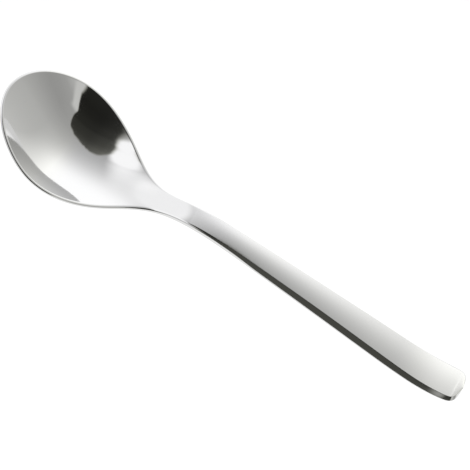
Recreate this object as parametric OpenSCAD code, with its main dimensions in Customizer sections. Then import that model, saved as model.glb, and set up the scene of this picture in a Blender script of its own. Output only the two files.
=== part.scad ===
// Soup spoon of stainless steel: a deep egg-shaped bowl on a long, low-arched handle.
// It lies as it rests on a table, with the tip of the bowl at -X, the end of the handle at +X and up at +Z.
// The origin is on the table, halfway along the spoon and under its middle line.
// The real spoon is one stamping. Its two regions, bowl and handle, meet face to face at the neck.

/* [Whole spoon] */
// Length from the tip of the bowl to the end of the handle
overall_l = 185; // [165:1:205]
// Length of the bowl, from its tip to the heel where the neck begins
bowl_l = 62; // [52:1:70]

/* [Bowl] */
// Greatest width of the bowl across its rim
bowl_w = 47; // [38:0.5:52]
// Greatest depth of the dish below the rim beside it
bowl_depth = 8; // [6.5:0.5:10]
// Rise of the rim from the heel, its lowest place, to the tip
tip_rise = 12; // [9:0.5:15]
// Height of the rounded edge of the rim
rim_t = 1; // [0.8:0.1:1.4]
// Width of the rounded edge of the rim
rim_w = 1; // [0.8:0.1:1.5]
// Thickness of the metal at the bottom of the dish
wall_t = 1.5; // [1.4:0.1:2.2]
// Depth of the small flat under the belly, on which the bowl rests
land_depth = 0.2; // [0.1:0.05:0.3]

/* [Handle] */
// Width of the neck, the narrowest place
neck_w = 8.4; // [6:0.2:11]
// Width of the handle near its end
end_w = 14.7; // [11:0.1:19]
// Rise of the top face from the heel of the bowl to the top of the arch
arch_rise = 4.5; // [2.5:0.25:7]
// Thickness of the handle at its middle
mid_t = 3; // [2.4:0.1:4]
// Thickness of the handle at its end
end_t = 1.3; // [1:0.1:2]
// Width of the rounded bevel along the handle, where it is widest and thickest
edge_w = 1.65; // [1.2:0.05:2.2]
// Height of the gentle crown across the top face of the handle, at the neck
crown_h = 0.55; // [0:0.05:0.7]

/* [Hidden] */

handle_l = overall_l - bowl_l;
bowl_half = bowl_w / 2;
neck_half = neck_w / 2;
inner_half = bowl_half - rim_w;

// Guide rows of the bowl, as shares: along its length, across its half width, up the rise of the rim
bowl_shares = [
    [0.032, 0.43, 0.97],
    [0.150, 0.79, 0.795],
    [0.34, 1.03, 0.487],
    [0.54, 0.98, 0.254],
    [0.73, 0.72, 0.053],
    [0.89, 0.36, -0.053],
];
// Rise of the guide row that rounds the tip
tip_row_share = 1.015;

// Guide rows of the handle, as shares: along its length, from neck width to end width,
// from the height where it rests to the arch, and from end thickness to middle thickness
handle_shares = [
    [0.02, -0.10, 0.535, 0.13],
    [0.11, 0.03, 0.97, 0.30],
    [0.23, 0.19, 1.03, 0.70],
    [0.37, 0.38, 0.83, 0.96],
    [0.55, 0.59, 0.555, 1.04],
    [0.73, 0.89, 0.23, 0.91],
    [0.88, 1.00, -0.095, 0.57],
    [0.965, 1.00, 0.085, 0.26],
    [0.996, 0.76, 0.16, 0.09],
];
// Rise of the guide row that squares the end, above the height where the handle rests
end_row_share = 0.175;
// The guide row at which the handle rests on the table, counted from the neck
rest_row = 6;

// Share by which the dish is fuller than a plain parabola, or leaner where it is below zero
fullness_share = -0.05;
// Share of the thickness at which the rounded side is widest
bulge_share = 0.7;
// Share of the thickness by which the underside is drawn in from the side
under_share = 0.32;
// Power of the curve over the rim of the bowl; a higher one makes its top flatter
rim_power = 3.2;
// Share of the bevel's fall that is even, and by how much its curve is straighter than the rim's
even_share = 0.95;
straight_share = 0.9;
// Share of the bevel's width that does not follow the thickness
steady_share = 0.6;
// Share of the crown's height that is lost from the neck to the end
crown_loss_share = 0.5;

// Cubic blend of four neighbouring guide rows, which keeps the bend of the curve even
function weights(f) = [
    pow(1 - f, 3),
    3 * pow(f, 3) - 6 * f * f + 4,
    -3 * pow(f, 3) + 3 * f * f + 3 * f + 1,
    pow(f, 3)
] / 6;

// Place at step u along a list of guide rows: distance from the tip, half width, edge height, edge thickness
function along(guides, u) =
    let (i = min(floor(u), len(guides) - 4))
    weights(u - i) * [for (k = [0 : 3]) guides[i + k]];

// A row mirrored over the middle line, which makes an end of the outline round
function mirrored(row) = [row[0], -row[1], row[2], row[3]];

// Guide rows of the bowl over a heel of a given height; the row at the tip stands half a step outside
function bowl_row(s, heel) = [s[0] * bowl_l, s[1] * bowl_half, heel + s[2] * tip_rise, rim_t];
function bowl_guides(heel) =
    let (first = bowl_row(bowl_shares[0], heel))
    concat(
        [mirrored(first), [-first[0] / 2, 0, heel + tip_row_share * tip_rise, rim_t]],
        [for (s = bowl_shares) bowl_row(s, heel)]
    );

// Depth shares of a dish where the spoon has half width w: it follows the square of the width,
// is full at the widest place and nothing at the neck
function swell(w, widest) =
    let (a = max(0, (w * w - neck_half * neck_half) / (widest * widest - neck_half * neck_half)))
    a * (1 + fullness_share * (1 - a));

// Fall of the dish across the spoon, one at the middle and nothing at the edge
function fall(q) = (1 - q * q) * (1 + fullness_share * q * q);

// Depth of the outside of the bowl below the edge of the rim
function belly(w) = (bowl_depth + wall_t - rim_t) * swell(w, bowl_half);

// The heel stands so high that the belly, less its small flat, touches the table
probe_count = 60;
lowest = min([
    for (k = [0 : probe_count])
        let (p = along(bowl_guides(0), (len(bowl_shares) - 1) * k / probe_count))
        p[2] - p[3] - belly(p[1])
]);
heel_h = -lowest - land_depth;
arch_h = heel_h + arch_rise;

// Guide rows of the handle; its top face lies one thickness above the table where it rests
function handle_t(s) = end_t + s[3] * (mid_t - end_t);
rest_h = handle_t(handle_shares[rest_row]);
function handle_row(s) =
    [bowl_l + s[0] * handle_l,
     neck_half + s[1] * (end_w - neck_w) / 2,
     rest_h + s[2] * (arch_h - rest_h),
     handle_t(s)];
last_row = handle_row(handle_shares[len(handle_shares) - 1]);
end_row = [overall_l + (overall_l - last_row[0]) / 2, 0, rest_h + end_row_share * (arch_h - rest_h), end_t];

rows = concat(
    bowl_guides(heel_h),
    [for (s = handle_shares) handle_row(s)],
    [end_row, mirrored(last_row)]
);
span_count = len(rows) - 3;
// The bowl and the handle meet at the second guide row of the handle
neck_step = len(bowl_shares) + 2;
// Steps before the neck from which the rim changes, and steps after it to the full bevel and crown
rim_fade = 0.6;
bevel_fade = 1.8;
crown_fade = 1.4;

// Share of the bevel or the crown at step u: nothing along the bowl, one along the handle
function handle_share(u, fade) =
    let (a = min(1, max(0, (u - neck_step + rim_fade) / (rim_fade + fade))))
    a * a * (3 - 2 * a);

// Count of points across half of the top, and down each half of a side
across_count = 12;
side_count = 3;
right_angle = 90;

// Fall of the edge's upper side at a share s of its curve: round on the bowl, a bevel on the handle
function edge_fall(s, bevel) =
    (1 - bevel) * pow(s, rim_power) + bevel * s * (even_share + (1 - even_share) * s);

// Closed section at step u, in the order top, right side, underside, left side
function section(u) =
    let (
        p = along(rows, u),
        x = p[0] - overall_l / 2,
        w = p[1],
        z = p[2],
        t = p[3],
        in_bowl = u < neck_step,
        narrowing = w / (w + rim_w),
        bevel = handle_share(u, bevel_fade),
        beyond = (p[0] - bowl_l) / handle_l,
        edge = edge_w * 2 * w / end_w * (steady_share + (1 - steady_share) * t / mid_t),
        run = (rim_w + bevel * (edge - rim_w)) * narrowing,
        tuck = under_share * t * narrowing,
        dish = in_bowl ? bowl_depth * swell(w - run, inner_half) : 0,
        bottom = in_bowl ? belly(w) : 0,
        crown = crown_h * handle_share(u, crown_fade) * (1 - crown_loss_share * beyond),
        side = concat(
            [for (k = [1 : side_count]) let (s = k / side_count)
                [w - run * pow(1 - s, 2 - straight_share * bevel), z - bulge_share * t * edge_fall(s, bevel)]],
            [for (k = [1 : side_count]) let (a = right_angle * k / side_count)
                [w - tuck * (1 - cos(a)), z - bulge_share * t - (1 - bulge_share) * t * sin(a)]]
        )
    )
    concat(
        [for (k = [-across_count : across_count]) let (q = sin(right_angle * k / across_count))
            [x, q * (w - run), z + (crown - dish) * fall(q)]],
        [for (s = side) [x, s[0], max(0, s[1])]],
        [for (k = [across_count - 1 : -1 : 1 - across_count]) let (q = sin(right_angle * k / across_count))
            [x, q * (w - tuck), max(0, z - t - bottom * fall(q))]],
        [for (k = [len(side) - 1 : -1 : 0]) [x, -side[k][0], max(0, side[k][1])]]
    );

// Solid of the spoon between two steps, with a flat face at each end
module stretch(from, to, count) {
    rings = [for (k = [0 : count]) section(k < count ? from + (to - from) * k / count : to)];
    n = len(rings[0]);
    points = [for (ring = rings) for (p = ring) p];
    walls = [
        for (r = [0 : count - 1], k = [0 : n - 1])
            let (a = r * n + k, b = r * n + (k + 1) % n)
                each [[a, b + n, a + n], [a, b, b + n]]
    ];
    start_face = [for (k = [n - 1 : -1 : 0]) k];
    end_face = [for (k = [0 : n - 1]) count * n + k];
    polyhedron(points = points, faces = concat(walls, [start_face, end_face]), convexity = 6);
}

// Step left free at both ends, so that the first and the last section have a width
end_gap_step = 0.1;
bowl_ring_count = 44;
handle_ring_count = 32;

module bowl() {
    color([0.82, 0.83, 0.84]) stretch(end_gap_step, neck_step, bowl_ring_count);
}

module handle() {
    color([0.72, 0.72, 0.71]) stretch(neck_step, span_count - end_gap_step, handle_ring_count);
}

bowl();
handle();
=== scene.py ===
"""Studio scene of a stainless steel soup spoon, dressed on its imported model."""

import logging
import math
from dataclasses import dataclass
from enum import Enum

import bpy
import numpy as np
from mathutils import Matrix, Vector


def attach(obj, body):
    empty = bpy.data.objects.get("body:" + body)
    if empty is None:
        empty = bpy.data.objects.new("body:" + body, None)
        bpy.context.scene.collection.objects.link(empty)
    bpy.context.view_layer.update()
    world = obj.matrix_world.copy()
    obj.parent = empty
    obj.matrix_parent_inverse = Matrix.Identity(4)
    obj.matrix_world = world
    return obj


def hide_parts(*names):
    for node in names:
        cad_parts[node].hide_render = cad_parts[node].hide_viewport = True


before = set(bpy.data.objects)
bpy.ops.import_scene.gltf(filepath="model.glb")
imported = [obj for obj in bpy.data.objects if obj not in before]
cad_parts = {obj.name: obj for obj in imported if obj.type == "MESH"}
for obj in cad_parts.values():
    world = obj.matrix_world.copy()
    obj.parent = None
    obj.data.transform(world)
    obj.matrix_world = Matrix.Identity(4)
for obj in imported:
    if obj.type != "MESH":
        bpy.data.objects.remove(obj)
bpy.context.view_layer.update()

log = logging.getLogger("soup_spoon")

MM = 0.001
RIGHT_ANGLE = math.pi / 2
# Points closer than this, in metres, are one point
WELD = 1e-9
# Small amounts that keep a division possible: millimetres, steps or slopes, squares on the map of
# the sky, and lengths of vectors in metres
TINY_MM = 1e-6
TINY_STEP = 1e-4
TINY_SQUARE = 1e-8
TINY_CHORD = 1e-12
TINY_NORMAL = 1e-20

# A line of stops, each a place and the result there
Line = tuple[tuple[float, float], ...]


class Value:
    """A number in a node tree. Sums, differences, products and quotients add Math nodes."""

    def __init__(self, tree: "Tree", socket: bpy.types.NodeSocket) -> None:
        """Wraps the output socket of a node in a tree."""
        self.tree = tree
        self.socket = socket

    def math(self, operation: str, first: "Value | float", second: "Value | float") -> "Value":
        """Adds one Math node.

        Args:
            operation: the Math node's operation.
            first: a value or a plain number.
            second: a value or a plain number.

        Returns:
            The value that the node puts out.
        """
        return self.tree.value("ShaderNodeMath", {"operation": operation}, {0: first, 1: second})

    def __add__(self, other: "Value | float") -> "Value":
        """This value plus another."""
        return self.math("ADD", self, other)

    __radd__ = __add__

    def __sub__(self, other: "Value | float") -> "Value":
        """This value less another."""
        return self.math("SUBTRACT", self, other)

    def __rsub__(self, other: float) -> "Value":
        """A number less this value."""
        return self.math("SUBTRACT", other, self)

    def __mul__(self, other: "Value | float") -> "Value":
        """This value times another."""
        return self.math("MULTIPLY", self, other)

    __rmul__ = __mul__

    def __truediv__(self, other: "Value | float") -> "Value":
        """This value over another."""
        return self.math("DIVIDE", self, other)

    def __rtruediv__(self, other: float) -> "Value":
        """A number over this value."""
        return self.math("DIVIDE", other, self)

    def function(self, operation: str) -> "Value":
        """A function of this value alone, such as its square root."""
        return self.math(operation, self, 0.0)

    def bounded(self, low: float, high: float) -> "Value":
        """This value, kept between two numbers."""
        return self.math("MINIMUM", self.math("MAXIMUM", self, low), high)

    def toward(self, other: "Value | float", share: "Value") -> "Value":
        """This value, blended towards another by a share."""
        return self + (other - self) * share

    def rise(self, start: float, end: float) -> "Value":
        """Climbs smoothly from nothing to one.

        Args:
            start: where the climb starts.
            end: where it ends, which may be the lower number.

        Returns:
            The height on the climb, level beyond both ends.
        """
        if start > end:
            return 1.0 - self.rise(end, start)
        sockets = {"Value": self, "From Min": start, "From Max": end}
        return self.tree.value("ShaderNodeMapRange", {"interpolation_type": "SMOOTHSTEP"}, sockets)

    def curve(self, line: Line) -> "Value":
        """Looks this value up on a line of stops, straight between each two.

        Args:
            line: the stops, with rising places on the value's own scale.

        Returns:
            The result, held level beyond both ends.
        """
        places, results = zip(*line)
        low, high = min(results), max(results)
        span = places[-1] - places[0]
        stops = [((place - places[0]) / span, (result - low) / (high - low)) for place, result in line]
        share = (self - places[0]) / span
        return low + (high - low) * self.tree.value("ShaderNodeValToRGB", {"stops": stops}, {"Fac": share})


class Tree:
    """The node tree of a material or of the world, filled from Python."""

    def __init__(self, owner: bpy.types.ID) -> None:
        """Empties the node tree of a material or a world."""
        owner.use_nodes = True
        self.nodes = owner.node_tree.nodes
        self.links = owner.node_tree.links
        self.nodes.clear()

    def node(self, kind: str, settings: dict, inputs: dict) -> bpy.types.Node:
        """Adds a node.

        Args:
            kind: the node's type.
            settings: attributes that are set before the sockets; "stops" fills a colour ramp.
            inputs: the values or links of its sockets, by name or number.

        Returns:
            The new node.
        """
        node = self.nodes.new(kind)
        for key, setting in settings.items():
            if key == "stops":
                self.fill_ramp(node.color_ramp, setting)
            else:
                setattr(node, key, setting)
        for key, given in inputs.items():
            given = given.socket if isinstance(given, Value) else given
            if isinstance(given, bpy.types.NodeSocket):
                self.links.new(given, node.inputs[key])
            else:
                node.inputs[key].default_value = given
        return node

    def value(self, kind: str, settings: dict, inputs: dict, output: "int | str" = 0) -> Value:
        """Adds a node, and gives one of its outputs as a value."""
        return Value(self, self.node(kind, settings, inputs).outputs[output])

    def place(self, kind: str) -> tuple[bpy.types.NodeSocket, tuple[Value, ...]]:
        """Adds a Texture Coordinate node.

        Args:
            kind: the name of one of its outputs.

        Returns:
            That output as a vector, and its three parts as values.
        """
        vector = self.node("ShaderNodeTexCoord", {}, {}).outputs[kind]
        parts = self.node("ShaderNodeSeparateXYZ", {}, {"Vector": vector})
        return vector, tuple(Value(self, output) for output in parts.outputs)

    @staticmethod
    def fill_ramp(ramp: bpy.types.ColorRamp, stops: list) -> None:
        """Fills a colour ramp with stops, each a place and a grey from 0 to 1."""
        while len(ramp.elements) > 1:
            ramp.elements.remove(ramp.elements[-1])
        for number, (place, grey) in enumerate(stops):
            element = ramp.elements[0] if number == 0 else ramp.elements.new(place)
            element.position = place
            element.color = (grey, grey, grey, 1.0)


def blend(rows: np.ndarray, steps: np.ndarray) -> tuple[np.ndarray, np.ndarray]:
    """Follows guide rows with a smooth curve.

    Each place is a cubic blend of the four nearest rows, which keeps the bend even, and its slope
    is the same blend with the weights' derivatives.

    Args:
        rows: the guide rows, one below the other.
        steps: places along the rows, where 0 is at the second row.

    Returns:
        The blended rows, and their change for one step.
    """
    first = np.minimum(np.floor(steps), len(rows) - 4).astype(int)
    near = rows[first[:, None] + np.arange(4)]
    f = (steps - first)[:, None]
    weights = ((1 - f) ** 3, 3 * f**3 - 6 * f**2 + 4, -3 * f**3 + 3 * f**2 + 3 * f + 1, f**3)
    slopes = (-((1 - f) ** 2), 3 * f**2 - 4 * f, -3 * f**2 + 2 * f + 1, f**2)
    place = np.einsum("nk,nkc->nc", np.concatenate(weights, axis=1) / 6, near)
    slope = np.einsum("nk,nkc->nc", np.concatenate(slopes, axis=1) / 2, near)
    return place, slope


def ease(share: np.ndarray) -> np.ndarray:
    """Climbs smoothly from nothing to one, and stays level beyond both."""
    held = np.clip(share, 0, 1)
    return held**2 * (3 - 2 * held)


def settled(height: np.ndarray, soft: float) -> np.ndarray:
    """A height that levels out softly at nothing instead of falling below it."""
    return (height + np.sqrt(height**2 + soft**2)) / 2


def unit(vectors: np.ndarray) -> np.ndarray:
    """Vectors brought to length one."""
    return vectors / (np.linalg.norm(vectors, axis=-1, keepdims=True) + TINY_NORMAL)


def tangents(points: np.ndarray, axis: int, closed: bool) -> np.ndarray:
    """Direction of a grid's lines at each point, from the chords before and after it.

    Args:
        points: a grid of points.
        axis: the grid's axis that the lines follow.
        closed: whether the lines are closed.

    Returns:
        The directions, weighted so that the nearer neighbour counts more.
    """
    line = np.moveaxis(points, axis, 0)
    if closed:
        line = np.concatenate((line[-1:], line, line[:1]))
    else:
        line = np.concatenate((2 * line[:1] - line[1:2], line, 2 * line[-1:] - line[-2:-1]))
    chord = np.diff(line, axis=0)
    size = np.linalg.norm(chord, axis=-1, keepdims=True) + TINY_CHORD
    before, after = chord[:-1] / size[:-1], chord[1:] / size[1:]
    return np.moveaxis(after * size[:-1] + before * size[1:], 0, axis)


def distinct(faces: np.ndarray) -> np.ndarray:
    """Keeps the faces whose corners are all different points."""
    return faces[np.all(np.diff(np.sort(faces, axis=1), axis=1) > 0, axis=1)]


@dataclass(frozen=True)
class GuideRows:
    """The outline of the stamping, as guide rows that a smooth curve follows.

    Each row holds the distance from the tip, the half width, the height of the edge and its
    thickness, in millimetres. The sizes and the shares are those of the solid model. The shares
    of a row of the bowl go along its length, across its half width and up the rise of its rim,
    and those of the handle along its length, from neck width to end width, from the height where
    it rests to the arch, and from end thickness to middle thickness. It rests at the row that
    rest_row counts from the neck. The probes are the steps in which a lowest or a widest place is
    looked for.
    """

    overall_l: float = 185.0
    bowl_l: float = 62.0
    bowl_w: float = 47.0
    bowl_depth: float = 8.0
    tip_rise: float = 12.0
    rim_t: float = 1.0
    wall_t: float = 1.5
    land_depth: float = 0.2
    neck_w: float = 8.4
    end_w: float = 14.7
    arch_rise: float = 4.5
    mid_t: float = 3.0
    end_t: float = 1.3
    fullness: float = -0.05
    tip_row_share: float = 1.015
    end_row_share: float = 0.175
    rest_row: int = 6
    heel_probes: int = 60
    width_probes: int = 800
    bowl_shares: tuple = (
        (0.032, 0.43, 0.97), (0.150, 0.79, 0.795), (0.34, 1.03, 0.487),
        (0.54, 0.98, 0.254), (0.73, 0.72, 0.053), (0.89, 0.36, -0.053),
    )
    handle_shares: tuple = (
        (0.02, -0.10, 0.535, 0.13), (0.11, 0.03, 0.97, 0.30), (0.23, 0.19, 1.03, 0.70),
        (0.37, 0.38, 0.83, 0.96), (0.55, 0.59, 0.555, 1.04), (0.73, 0.89, 0.23, 0.91),
        (0.88, 1.00, -0.095, 0.57), (0.965, 1.00, 0.085, 0.26), (0.996, 0.76, 0.16, 0.09),
    )

    @property
    def handle_l(self) -> float:
        """Length of the handle, from the heel of the bowl to the end."""
        return self.overall_l - self.bowl_l

    @property
    def neck_step(self) -> float:
        """Step along the guide rows at which the bowl and the handle meet."""
        return len(self.bowl_shares) + 2.0

    @property
    def widest_step(self) -> float:
        """Step along the guide rows at which the bowl is widest."""
        steps = np.linspace(0, self.neck_step, self.width_probes + 1)
        return float(steps[np.argmax(self.follow(steps)[0][:, 1])])

    @property
    def last_step(self) -> float:
        """Step along the guide rows at which the handle ends."""
        return len(self.bowl_shares) + len(self.handle_shares) + 1.0

    @property
    def belly_depth(self) -> float:
        """Greatest depth of the outside of the bowl below the lower side of its rim."""
        return self.bowl_depth + self.wall_t - self.rim_t

    @property
    def heel_h(self) -> float:
        """Height of the heel, so high that the belly, less its small flat, touches the table.

        The lowest place under a bowl whose heel is at nothing says by how much it has to rise.
        """
        steps = np.linspace(0, len(self.bowl_shares) - 1, self.heel_probes + 1)
        _, half, height, thick = blend(self.bowl_rows(0.0), steps)[0].T
        neck_half, bowl_half = self.neck_w / 2, self.bowl_w / 2
        share = np.maximum(0, (half**2 - neck_half**2) / (bowl_half**2 - neck_half**2))
        return float(-np.min(height - thick - self.belly_depth * self.filled(share)) - self.land_depth)

    def filled(self, share: np.ndarray) -> np.ndarray:
        """Share of a plain parabola, made a little leaner or fuller by the fullness."""
        return share * (1 + self.fullness * (1 - share))

    def bowl_rows(self, heel_h: float) -> np.ndarray:
        """Works out the guide rows of the bowl.

        The first row is mirrored over the middle line, and the row at the tip stands half a step
        outside, which together close the outline round the tip.

        Args:
            heel_h: height of the heel.

        Returns:
            An array of guide rows by four numbers.
        """
        share = np.array(self.bowl_shares)
        rows = np.column_stack((
            share[:, 0] * self.bowl_l,
            share[:, 1] * self.bowl_w / 2,
            heel_h + share[:, 2] * self.tip_rise,
            np.full(len(share), self.rim_t),
        ))
        tip = (-rows[0, 0] / 2, 0.0, heel_h + self.tip_row_share * self.tip_rise, self.rim_t)
        return np.vstack((rows[0] * (1, -1, 1, 1), tip, rows))

    def handle_rows(self, heel_h: float) -> np.ndarray:
        """Works out the guide rows of the handle.

        Its top face lies one thickness above the table where it rests. The rows after the last
        one close the outline at the end, as those before the first do at the tip.

        Args:
            heel_h: height of the heel of the bowl.

        Returns:
            An array of guide rows by four numbers.
        """
        share = np.array(self.handle_shares)
        thick = self.end_t + share[:, 3] * (self.mid_t - self.end_t)
        rest_h = thick[self.rest_row]
        climb = heel_h + self.arch_rise - rest_h
        rows = np.column_stack((
            self.bowl_l + share[:, 0] * self.handle_l,
            self.neck_w / 2 + share[:, 1] * (self.end_w - self.neck_w) / 2,
            rest_h + share[:, 2] * climb,
            thick,
        ))
        end_x = self.overall_l + (self.overall_l - rows[-1, 0]) / 2
        end = (end_x, 0.0, rest_h + self.end_row_share * climb, self.end_t)
        return np.vstack((rows, end, rows[-1] * (1, -1, 1, 1)))

    def follow(self, steps: np.ndarray) -> tuple[np.ndarray, np.ndarray]:
        """Follows the guide rows of the whole spoon.

        Args:
            steps: places along the rows, from 0 at the tip to the last step at the end.

        Returns:
            The blended rows, and their change for one step.
        """
        heel_h = self.heel_h
        return blend(np.vstack((self.bowl_rows(heel_h), self.handle_rows(heel_h))), steps)


@dataclass(frozen=True)
class Stamping:
    """The skin of the whole spoon: a dish, an edge profile carried round the outline, and a back.

    Widths and heights are in millimetres, and a fade is in steps along the guide rows. The
    numbers down to the straightness are those of the solid model. The ones after them round what
    is a sharp corner there, and the last two count the points across half of the top and down
    half of a side.
    """

    guides: GuideRows = GuideRows()
    rim_w: float = 1.0
    edge_w: float = 1.65
    steady: float = 0.6
    crown_h: float = 0.55
    crown_loss: float = 0.5
    bulge: float = 0.7
    under: float = 0.32
    rim_fade: float = 0.6
    bevel_fade: float = 1.8
    crown_fade: float = 1.4
    rim_power: float = 3.2
    even: float = 0.95
    straight: float = 0.9
    lip_soft: float = 0.07
    lip_steepest: float = 2.0
    heel_soft: float = 0.004
    heel_past: float = 0.2
    heel_fade: float = 1.2
    rest_soft: float = 0.08
    across: int = 26
    edge_points: int = 10

    @property
    def ring_size(self) -> int:
        """Number of points in one section."""
        return 4 * self.across + 4 * self.edge_points

    def edge_mask(self) -> np.ndarray:
        """Tells the rounded edges of a section from its top and back.

        Returns:
            One for each point on an edge, and nothing for the others.
        """
        mask = np.zeros(self.ring_size)
        top = 2 * self.across + 1
        mask[top:top + 2 * self.edge_points] = 1.0
        mask[-2 * self.edge_points:] = 1.0
        return mask

    def swell(self, steps: np.ndarray, half: np.ndarray, widest: float) -> np.ndarray:
        """Share of the full depth at each station.

        It follows the square of the half width. Beyond the widest place the square of the
        neck's half width is taken off, so the dish runs out at the neck, softly enough to leave
        no crease.

        Args:
            steps: the stations.
            half: half width of the dish there.
            widest: half width at the widest place.

        Returns:
            The share for each station, from 0 to 1.
        """
        guides = self.guides
        beyond = steps > guides.widest_step
        neck = np.where(beyond, guides.neck_w / 2, 0.0)
        share = (half**2 - neck**2) / (widest**2 - neck**2)
        leaving = ease((guides.neck_step + self.heel_past - steps) / self.heel_fade)
        share = np.where(beyond, settled(share, self.heel_soft) * leaving, share)
        return guides.filled(share)

    def handle_share(self, steps: np.ndarray, fade: float) -> np.ndarray:
        """Share of the bevel or the crown: nothing along the bowl, one along the handle."""
        return ease((steps - self.guides.neck_step + self.rim_fade) / (self.rim_fade + fade))[:, None]

    def soft_min(self, first: np.ndarray, second: np.ndarray, dish: np.ndarray) -> np.ndarray:
        """Takes the lower of two heights, and rounds the corner between them.

        Args:
            first: one height at each point.
            second: the other height.
            dish: depth of the dish, which rounds the corner less where it is shallow.

        Returns:
            The lower height, a little lower still at the corner.
        """
        soft = self.lip_soft * np.clip(dish, 0, 1) + TINY_MM
        share = np.clip(0.5 + 0.5 * (second - first) / soft, 0, 1)
        return second + (first - second) * share - soft * share * (1 - share)

    def edge(
        self, height: np.ndarray, thick: np.ndarray, run: np.ndarray, tuck: np.ndarray, bevel: np.ndarray
    ) -> tuple[np.ndarray, np.ndarray]:
        """Works out the profile of the edge, from the top face over the widest place to the back.

        With s as the share of its curve, the upper side comes out to the outline by
        1 - (1 - s) squared on the bowl and nearly evenly on the handle. It falls by a power of s
        on the bowl, which makes a round rim, and nearly evenly on the handle, which makes a
        bevel. The lower side is a quarter ellipse.

        Args:
            height: height of the edge at each station.
            thick: its thickness.
            run: width of its upper side.
            tuck: width of its lower side.
            bevel: share of the bevel, from 0 on the bowl to 1 on the handle.

        Returns:
            How far each point is drawn in from the outline, and its height.
        """
        angle = np.linspace(0, RIGHT_ANGLE, self.edge_points + 1)[None, 1:]
        s = angle / RIGHT_ANGLE
        inward = (1 - s) ** (2 - self.straight * bevel)
        fall = (1 - bevel) * s**self.rim_power + bevel * s * (self.even + (1 - self.even) * s)
        upper = height - self.bulge * thick * fall
        lower = height - self.bulge * thick - (1 - self.bulge) * thick * np.sin(angle)
        drawn_in = np.concatenate((run * inward, tuck * (1 - np.cos(angle))), axis=1)
        return drawn_in, np.concatenate((upper, lower), axis=1)

    def rings(self, steps: np.ndarray) -> np.ndarray:
        """Works out the closed section at each station.

        A section runs over the top from side to side, round one edge, under the back and round
        the other edge. The edge is carried along the outline and drawn in at right angles to it.
        The top falls from the edge by the dish, a parabola across the spoon, and rises by a
        crown of the same form, lower towards the end. The back falls by the belly. A soft
        minimum rounds the inner lip, and the places where the spoon rests level out softly at
        the table. At both ends the section closes to the middle line.

        Args:
            steps: stations from 0 at the tip to the last step at the end.

        Returns:
            Points in metres, stations by points of a section by three.
        """
        guides = self.guides
        place, slope = guides.follow(np.clip(steps, TINY_STEP, guides.last_step - TINY_STEP))
        x, half, height, thick = (place[:, column, None] for column in range(4))
        spread = ((steps > 0) & (steps < guides.last_step)).astype(float)[:, None]
        length = np.hypot(slope[:, 0], slope[:, 1])[:, None]
        out_x, out_y = -slope[:, 1, None] / length, slope[:, 0, None] / length

        bevel = self.handle_share(steps, self.bevel_fade)
        by_thickness = self.steady + (1 - self.steady) * thick / guides.mid_t
        edge_w = self.edge_w * 2 * half / guides.end_w * by_thickness
        run = self.rim_w + bevel * (edge_w - self.rim_w)
        tuck = self.under * thick
        top_x, top_half = x - run * out_x, np.maximum(half - run * out_y, TINY_MM)
        back_x, back_half = x - tuck * out_x, np.maximum(half - tuck * out_y, TINY_MM)

        widest = guides.bowl_w / 2
        dish = guides.bowl_depth * self.swell(steps, top_half[:, 0], widest - self.rim_w)[:, None]
        belly = guides.belly_depth * self.swell(steps, half[:, 0], widest)[:, None]
        beyond = (x - guides.bowl_l) / guides.handle_l
        crown = self.crown_h * self.handle_share(steps, self.crown_fade) * (1 - self.crown_loss * beyond)

        q = np.sin(np.linspace(-1, 1, 2 * self.across + 1) * RIGHT_ANGLE)[None, :]
        fall = guides.filled(1 - q**2)
        top_z = self.soft_min(height, height - dish * fall, dish) + crown * fall
        top = np.stack(np.broadcast_arrays(top_x, q * top_half * spread, top_z), axis=-1)
        q = -q[:, 1:-1]
        back_z = height - thick - belly * guides.filled(1 - q**2)
        back = np.stack(np.broadcast_arrays(back_x, q * back_half * spread, back_z), axis=-1)

        drawn_in, edge_z = self.edge(height, thick, run, tuck, bevel)
        lip_slope = dish * 2 * (1 + guides.fullness) / (top_half * np.maximum(out_y, TINY_STEP))
        lip = height + np.minimum(lip_slope, self.lip_steepest) * (run - drawn_in[:, :self.edge_points])
        edge_z[:, :self.edge_points] = self.soft_min(edge_z[:, :self.edge_points], lip, dish)
        edge_x, edge_y = x - drawn_in * out_x, (half - drawn_in * out_y) * spread
        left = np.stack((edge_x, edge_y, edge_z), axis=-1)
        right = np.stack((edge_x, -edge_y, edge_z), axis=-1)[:, ::-1]

        ring = np.concatenate((top, left, back, right), axis=1)
        ring[..., 0] -= guides.overall_l / 2
        ring[..., 2] = settled(ring[..., 2], self.rest_soft)
        return ring * MM


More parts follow.
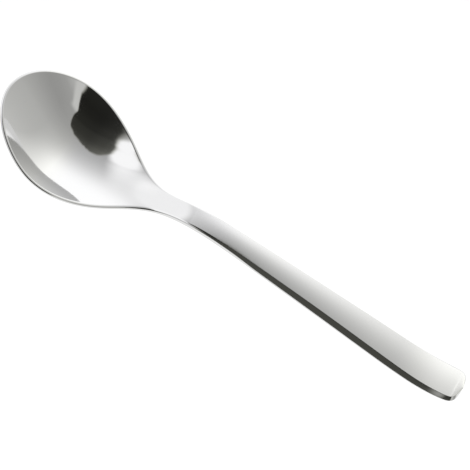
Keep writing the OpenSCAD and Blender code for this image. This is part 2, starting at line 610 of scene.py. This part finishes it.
@dataclass(frozen=True)
class Polish:
    """Mirror-polished steel, with faint haze and polishing lines."""

    colour: tuple = (0.71, 0.71, 0.705, 1.0)
    roughness: float = 0.045
    haze: float = 0.035
    haze_scale: float = 55.0
    haze_detail: float = 4.0
    line_turn: tuple = (0.2, 0.1, 0.6)
    line_scale: tuple = (60.0, 2400.0, 900.0)
    line_detail: float = 2.0
    line_from: float = 0.62
    line_gain: float = 6.0
    line_roughness: float = 0.05
    line_bump: float = 0.05
    line_depth: float = 0.00002

    def material(self) -> bpy.types.Material:
        """Builds the material.

        Returns:
            A new material.
        """
        made = bpy.data.materials.new("mirror_steel")
        tree = Tree(made)
        place, _ = tree.place("Object")
        cloud = tree.value("ShaderNodeTexNoise", {}, {
            "Vector": place, "Scale": self.haze_scale, "Detail": self.haze_detail,
        })
        turned = tree.node("ShaderNodeMapping", {}, {
            "Vector": place, "Rotation": self.line_turn, "Scale": self.line_scale,
        })
        streaks = tree.value("ShaderNodeTexNoise", {}, {
            "Vector": turned.outputs[0], "Scale": 1.0, "Detail": self.line_detail,
        })
        lines = ((streaks - self.line_from) * self.line_gain).bounded(0.0, 1.0)
        rough = self.roughness + self.haze * cloud * cloud + self.line_roughness * lines
        bump = tree.node("ShaderNodeBump", {}, {
            "Strength": self.line_bump, "Distance": self.line_depth, "Height": lines,
        })
        shade = tree.node("ShaderNodeBsdfPrincipled", {}, {
            "Base Color": self.colour, "Metallic": 1.0, "Roughness": rough, "Normal": bump.outputs[0],
        })
        tree.node("ShaderNodeOutputMaterial", {}, {"Surface": shade.outputs[0]})
        return made


@dataclass(frozen=True)
class Satin:
    """Satin steel, brushed along the handle, with polished edges.

    The top grows paler towards the end as a painted sheen, brighter reflection painted into its
    colour, between two distances from the middle, in metres.
    """

    colour: tuple = (0.71, 0.71, 0.705, 1.0)
    painted_sheen_colour: tuple = (0.94, 0.94, 0.90, 1.0)
    painted_sheen_from: float = 0.066
    painted_sheen_full: float = 0.086
    roughness: float = 0.16
    edge_roughness: float = 0.07
    grain_scale: tuple = (45.0, 5200.0, 5200.0)
    grain_detail: float = 3.0
    grain_roughness: float = 0.08
    grain_bump: float = 0.25
    grain_depth: float = 0.00001

    def material(self) -> bpy.types.Material:
        """Builds the material.

        Returns:
            A new material.
        """
        made = bpy.data.materials.new("satin_steel")
        tree = Tree(made)
        place, (x, _, _) = tree.place("Object")
        top = 1.0 - tree.value("ShaderNodeAttribute", {"attribute_name": "edge"}, {}, "Fac")
        # The Mix node's colour sockets, which share their names with others
        share_in, first_in, second_in, colour_out = 0, 6, 7, 2
        # Painted sheen: the top's colour grows paler towards the end, standing in for brighter reflection
        colour = tree.node("ShaderNodeMix", {"data_type": "RGBA"}, {
            share_in: x.rise(self.painted_sheen_from, self.painted_sheen_full) * top,
            first_in: self.colour,
            second_in: self.painted_sheen_colour,
        })
        fine = tree.node("ShaderNodeMapping", {}, {"Vector": place, "Scale": self.grain_scale})
        grain = tree.value("ShaderNodeTexNoise", {}, {
            "Vector": fine.outputs[0], "Scale": 1.0, "Detail": self.grain_detail,
        })
        added = self.roughness - self.edge_roughness + self.grain_roughness * (grain - 0.5)
        bump = tree.node("ShaderNodeBump", {}, {
            "Strength": self.grain_bump, "Distance": self.grain_depth, "Height": grain * top,
        })
        shade = tree.node("ShaderNodeBsdfPrincipled", {}, {
            "Base Color": colour.outputs[colour_out],
            "Metallic": 1.0,
            "Roughness": self.edge_roughness + added * top,
            "Normal": bump.outputs[0],
        })
        tree.node("ShaderNodeOutputMaterial", {}, {"Surface": shade.outputs[0]})
        return made


class Region(Enum):
    """The two regions of the stamping, each a piece and a node of the solid model."""

    BOWL = "bowl"
    HANDLE = "handle"


@dataclass(frozen=True)
class Skin:
    """A closed stretch of the stamping, from the tip to the neck or from the neck to the end."""

    stamping: Stamping
    region: Region
    ring_count: int
    slot: str

    @property
    def is_bowl(self) -> bool:
        """Whether this is the bowl, which closes at its first section, not its last."""
        return self.region is Region.BOWL

    def steps(self) -> np.ndarray:
        """The stations of this piece."""
        guides = self.stamping.guides
        ends = (0.0, guides.neck_step) if self.is_bowl else (guides.neck_step, guides.last_step)
        return np.linspace(*ends, self.ring_count)

    def surface(self) -> tuple[np.ndarray, np.ndarray]:
        """Works out the points of the skin, and the direction in which each faces.

        A direction is the cross product of the skin's lines along and around the spoon. Both
        pieces look one section past the neck for it, so they share the directions there. Where
        the skin closes to a line, its top and back take the directions of the section beside it.

        Returns:
            Points and directions, stations by points of a section by three.
        """
        steps = self.steps()
        stride = steps[1] - steps[0]
        before = max(0.0, steps[0] - stride)
        after = min(self.stamping.guides.last_step, steps[-1] + stride)
        grid = self.stamping.rings(np.concatenate(([before], steps, [after])))
        facing = unit(np.cross(tangents(grid, 0, False), tangents(grid, 1, True)))
        grid, facing = grid[1:-1], facing[1:-1]
        closing, beside = (0, 1) if self.is_bowl else (-1, -2)
        flat = self.stamping.edge_mask() == 0
        facing[closing, flat] = facing[beside, flat]
        return grid, facing

    def faces(self, merged: np.ndarray) -> list:
        """Joins the sections by faces that look outwards.

        Each four neighbours make a quad. One with a side that has shrunk to a point becomes a
        triangle, and one that has shrunk to a line is left out. The cut through the neck is
        closed by one face, which is flat to within a few hundredths of a millimetre.

        Args:
            merged: the number of the point at each station and place of a section.

        Returns:
            The faces, with the one at the neck last.
        """
        a, d = merged[:-1], merged[1:]
        b, c = np.roll(a, -1, axis=1), np.roll(d, -1, axis=1)
        quads = np.stack((a, d, c, b), axis=-1).reshape(-1, 4)
        thin = quads[(quads[:, 0] == quads[:, 3]) | (quads[:, 1] == quads[:, 2])]
        triangles = np.where(thin[:, :1] == thin[:, 3:], thin[:, [0, 1, 2]], thin[:, [0, 1, 3]])
        cut = merged[-1][::-1] if self.is_bowl else merged[0]
        return distinct(quads).tolist() + distinct(triangles).tolist() + [cut.tolist()]

    def mesh(self) -> bpy.types.Mesh:
        """Makes the mesh, smooth all over but for the cut through the neck.

        Points in the same place are merged, and face the way that they do together. The edge
        mask goes into an attribute for the finishes.

        Returns:
            The mesh.
        """
        grid, facing = self.surface()
        rings, around = grid.shape[:2]
        keys = np.round(grid.reshape(-1, 3) / WELD).astype(np.int64)
        _, first, merged = np.unique(keys, axis=0, return_index=True, return_inverse=True)
        merged = merged.reshape(rings, around)
        points = grid.reshape(-1, 3)[first]
        together = np.zeros_like(points)
        np.add.at(together, merged.ravel(), facing.reshape(-1, 3))
        mesh = bpy.data.meshes.new(f"{self.region.value}_skin")
        mesh.from_pydata(points.tolist(), [], self.faces(merged))
        mesh.validate()
        mesh.shade_smooth()
        mesh.polygons[-1].use_smooth = False
        corners = np.zeros(len(mesh.loops), np.int32)
        mesh.loops.foreach_get("vertex_index", corners)
        normals = unit(together)[corners]
        normals[-around:] = (1.0 if self.is_bowl else -1.0, 0.0, 0.0)
        mesh.normals_split_custom_set(normals.tolist())
        mask = np.broadcast_to(self.stamping.edge_mask(), (rings, around)).reshape(-1)[first]
        mesh.attributes.new("edge", "FLOAT", "POINT").data.foreach_set("value", mask.astype(np.float32))
        return mesh

    def build(self, material: bpy.types.Material) -> bpy.types.Object:
        """Builds the piece, and dresses it.

        Args:
            material: the finish.

        Returns:
            The finished piece.
        """
        mesh = self.mesh()
        mesh.materials.append(material)
        piece = bpy.data.objects.new(f"{self.region.value}_steel", mesh)
        bpy.context.scene.collection.objects.link(piece)
        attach(piece, "root")
        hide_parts(self.region.value)
        return piece


@dataclass(frozen=True)
class Room:
    """The light tent round the spoon, as the steel sees it.

    Places in it are given on a map of the sky, in degrees from the zenith: across, towards the
    end of the handle, and deep, towards the back. A grey, from 0 to 255, is the one that steel
    shows of the light there. A line runs along deep, and gives greys or a place across. Only the
    top of the dark opening, which is called the gap, and its softness, the gap's gain and the
    share of blue run along across. A soft line gives half the width over which a side blurs.
    """

    steel: float = 0.71
    gamma: float = 2.2
    overhead: Line = (
        (-30, 150), (7, 156), (14, 164), (21, 174), (28, 187), (35, 201), (42, 217), (49, 232),
        (56, 244), (63, 251), (70, 254),
    )
    wall: Line = (
        (-50, 177), (-21, 175), (-14, 152), (-7, 146), (0, 144), (7, 150), (14, 157), (21, 163),
        (28, 169), (42, 173), (56, 177), (77, 185), (90, 189),
    )
    wall_from: float = 17.0
    wall_blur: float = 34.0
    lit_side: Line = ((26, 247), (36, 237), (56, 239), (64, 248))
    lit_edge: Line = (
        (-5, -12), (0, -13), (6, -14.6), (10, -15.5), (13, -16.2), (16, -17.4), (20, -17.6),
        (24, -18.2), (28, -18.5), (32, -18.6), (40, -18.8), (52, -19),
    )
    lit_soft: Line = (
        (4, 1), (6, 1.2), (13, 1.8), (16, 3), (24, 3), (28, 2.8), (32, 2.6), (40, 2.6), (48, 3),
    )
    gap: Line = (
        (-100, 75), (-86, 70), (-70, 68), (-56, 66), (-45, 52), (-30, 38), (-22, 34), (-17, 36),
        (-12, 41), (-8, 42), (-6, 48), (-2, 51), (2, 54), (6, 62), (10, 72), (12, 74),
    )
    gap_gain: Line = ((-14, 2.2), (-12, 1.9), (-10, 1.6), (-6, 1.4), (-4, 1.25), (0, 1.05), (3, 1.0))
    gap_left: Line = (
        (-70, -9), (-50, -7), (-35, -7), (-25, -9), (-20, -11.5), (-16, -13), (-12, -13.2),
        (-8, -13.5), (-6, -13.9), (-4, -14.2), (-2, -14.9), (0, -15.2), (6, -15.2), (8, -15),
        (10, -14.8), (13, -14),
    )
    gap_right: Line = (
        (-45, 42), (-27, 33.5), (-24, 34.3), (-22, 35.3), (-20, 34.2), (-17, 32.3), (-14, 30),
        (-12, 28.8), (-10, 29.8), (-7, 30.8), (-4, 30.6), (0, 29.5), (5, 27),
    )
    gap_top: Line = (
        (-15, 7), (-14, 8.8), (-12, 12.3), (-10, 14), (-7, 14.5), (-4, 14.5), (-2, 13.4), (0, 13.2),
        (2, 11.7), (4, 11.8), (6, 10.8), (8, 10.3), (10, 9.3), (13, 8.4), (18, 7.6), (20, 6.3),
        (23, 4.8), (26, 4), (28, 2.8), (31, -1.5),
    )
    left_soft: Line = ((-45, 5.0), (-28, 1.8), (-18, 1.8), (-11, 1.6), (-7, 0.9))
    right_soft: Line = ((-27, 3.0), (-24, 2.4), (-18, 0.9))
    top_soft: Line = ((-10, 2.2), (2, 1.4))
    streak_grey: float = 187.0
    streak_beside: tuple = (14.0, 8.0)
    streak_deep: tuple = (-8.0, -12.5)
    blue: Line = ((-25, 1.015), (0, 1.012), (20, 0.975))
    gap_blue_loss: float = 0.12

    def radiance(self, grey: float) -> float:
        """Light that steel shows as a grey from 0 to 255."""
        return (grey / 255.0) ** self.gamma / self.steel

    def greys(self, along: Value, line: Line) -> Value:
        """Light along a line of the map, from the greys that steel shows at its stops."""
        return along.curve(tuple((place, self.radiance(grey)) for place, grey in line))

    def directions(self, tree: Tree) -> tuple[Value, Value]:
        """Places each direction of sight on the map of the sky.

        Its angle from the zenith is shared out between across and deep as its level parts are.

        Args:
            tree: the world's node tree.

        Returns:
            The degrees across and deep.
        """
        _, (x, y, z) = tree.place("Generated")
        level = (x * x + y * y + TINY_SQUARE).function("SQRT")
        tilt = z.bounded(-1.0, 1.0).function("ARCCOSINE") * math.degrees(1.0)
        return tilt * x / level, tilt * y / level

    def tent(self, across: Value, deep: Value) -> Value:
        """Light of the tent: a grade overhead, a grey wall at the handle's end, a lit left side.

        Args:
            across: degrees towards the end of the handle.
            deep: degrees towards the back.

        Returns:
            The light.
        """
        wall_share = ((across - self.wall_from) / self.wall_blur).bounded(0.0, 1.0)
        light = self.greys(deep, self.overhead).toward(self.greys(deep, self.wall), wall_share)
        inside = (deep.curve(self.lit_edge) - across) / deep.curve(self.lit_soft)
        return light.toward(self.greys(deep, self.lit_side), inside.rise(-1.0, 1.0))

    def build(self) -> bpy.types.World:
        """Builds the tent as the scene's world, with a dark opening and a streak beside it.

        Returns:
            The world.
        """
        world = bpy.data.worlds.new("light_tent")
        bpy.context.scene.world = world
        tree = Tree(world)
        across, deep = self.directions(tree)
        beside = across - deep.curve(self.gap_right)
        streak = beside.rise(*self.streak_beside) * deep.rise(*self.streak_deep)
        light = self.tent(across, deep).toward(self.radiance(self.streak_grey), streak)
        from_left = (across - deep.curve(self.gap_left)) / deep.curve(self.left_soft)
        from_right = beside / deep.curve(self.right_soft)
        from_top = (across.curve(self.gap_top) - deep) / across.curve(self.top_soft)
        opening = from_left.rise(-1.0, 1.0) * from_right.rise(1.0, -1.0) * from_top.rise(-1.0, 1.0)
        light = light.toward(self.greys(deep, self.gap) * across.curve(self.gap_gain), opening)
        blue = light * (across.curve(self.blue) - self.gap_blue_loss * opening)
        colour = tree.node("ShaderNodeCombineColor", {}, {"Red": light, "Green": light, "Blue": blue})
        sky = tree.node("ShaderNodeBackground", {}, {"Color": colour.outputs[0], "Strength": 1.0})
        tree.node("ShaderNodeOutputWorld", {}, {"Surface": sky.outputs[0]})
        return world


@dataclass(frozen=True)
class Studio:
    """The plain pale floor and the camera.

    Angles are in degrees, lengths in metres, and names with px in pixels of the photograph. The
    painted pool of light, glow painted into the floor, is brightest round the spoon, and fades from
    one distance to another at its sides and at its back and front.
    """

    azimuth: float = -1.326
    elevation: float = 54.987
    roll: float = 32.05
    distance: float = 1.5
    target: tuple = (-0.00009, 0.0, 0.00475)
    offset_px: tuple = (-4.03, 11.30)
    focal_px: float = 4418.0
    frame_px: float = 470.0
    sensor_mm: float = 36.0
    clip: tuple = (0.01, 50.0)
    floor_reach: float = 1.2
    floor_z: float = -0.00005
    floor_colour: tuple = (0.1, 0.1, 0.1, 1.0)
    floor_roughness: float = 0.9
    painted_floor_glow: float = 0.70
    painted_pool_side: tuple = (0.085, 0.125)
    painted_pool_rear: tuple = (0.083, 0.100)

    def floor_material(self) -> bpy.types.Material:
        """Builds the floor's material, which glows softly with painted light, and white round the spoon.

        Returns:
            A new material.
        """
        made = bpy.data.materials.new("floor")
        tree = Tree(made)
        _, (x, y, _) = tree.place("Object")
        turn, lean = math.radians(self.roll), math.sin(math.radians(self.elevation))
        side = (x * math.cos(turn) + y * math.sin(turn) * lean).function("ABSOLUTE")
        rear = (y * math.cos(turn) * lean - x * math.sin(turn)).function("ABSOLUTE")
        # Painted pool of light: the floor's glow is brighter round the spoon and fades at its sides, back
        # and front
        painted_pool = (1.0 - side.rise(*self.painted_pool_side)) * (1.0 - rear.rise(*self.painted_pool_rear))
        painted_glow = self.painted_floor_glow + (1.0 - self.painted_floor_glow) * painted_pool
        light = tree.node("ShaderNodeCombineColor", {}, {"Red": painted_glow, "Green": painted_glow, "Blue": painted_glow})
        shade = tree.node("ShaderNodeBsdfPrincipled", {}, {
            "Base Color": self.floor_colour, "Roughness": self.floor_roughness,
            "Emission Color": light.outputs[0], "Emission Strength": 1.0,
        })
        tree.node("ShaderNodeOutputMaterial", {}, {"Surface": shade.outputs[0]})
        return made

    def floor(self) -> bpy.types.Object:
        """Builds the floor.

        Returns:
            The floor.
        """
        reach, z = self.floor_reach, self.floor_z
        corners = [(-reach, -reach, z), (reach, -reach, z), (reach, reach, z), (-reach, reach, z)]
        mesh = bpy.data.meshes.new("floor")
        mesh.from_pydata(corners, [], [(0, 1, 2, 3)])
        mesh.materials.append(self.floor_material())
        floor = bpy.data.objects.new("floor", mesh)
        bpy.context.scene.collection.objects.link(floor)
        return floor

    def camera(self) -> bpy.types.Object:
        """Sets the camera at the photograph's viewing angle.

        It looks at the target from the given distance, turned about its own line of sight by
        the roll, and is moved sideways so that the target falls where it does in the frame.

        Returns:
            The camera.
        """
        tilt, turn, roll = (math.radians(angle) for angle in (self.elevation, self.azimuth, self.roll))
        back = Vector((math.sin(turn) * math.cos(tilt), -math.cos(turn) * math.cos(tilt), math.sin(tilt)))
        level = Vector((math.cos(turn), math.sin(turn), 0.0))
        rise = back.cross(level)
        right = math.cos(roll) * level + math.sin(roll) * rise
        up = math.cos(roll) * rise - math.sin(roll) * level
        metres_per_px = self.distance / self.focal_px
        place = Vector(self.target) + back * self.distance
        place += (up * self.offset_px[1] - right * self.offset_px[0]) * metres_per_px
        lens = bpy.data.cameras.new("camera")
        lens.sensor_width = self.sensor_mm
        lens.lens = self.sensor_mm * self.focal_px / self.frame_px
        lens.clip_start, lens.clip_end = self.clip
        eye = bpy.data.objects.new("camera", lens)
        bpy.context.scene.collection.objects.link(eye)
        eye.matrix_world = Matrix.Translation(place) @ Matrix((right, up, back)).transposed().to_4x4()
        bpy.context.scene.camera = eye
        return eye


def main() -> None:
    """Builds the spoon, the room, the floor and the camera, and reports each piece."""
    logging.basicConfig(level=logging.INFO, format="%(message)s")
    stamping = Stamping()
    parts = (
        (Skin(stamping, Region.BOWL, ring_count=340, slot="mirror_steel"), Polish()),
        (Skin(stamping, Region.HANDLE, ring_count=300, slot="satin_steel"), Satin()),
    )
    for skin, finish in parts:
        piece = skin.build(finish.material())
        log.info("%s: %d faces", piece.name, len(piece.data.polygons))
    Room().build()
    studio = Studio()
    for staged in (studio.floor(), studio.camera()):
        log.info("%s: stage", staged.name)
    bpy.context.scene.view_settings.view_transform = "Standard"


if __name__ == "__main__":
    main()
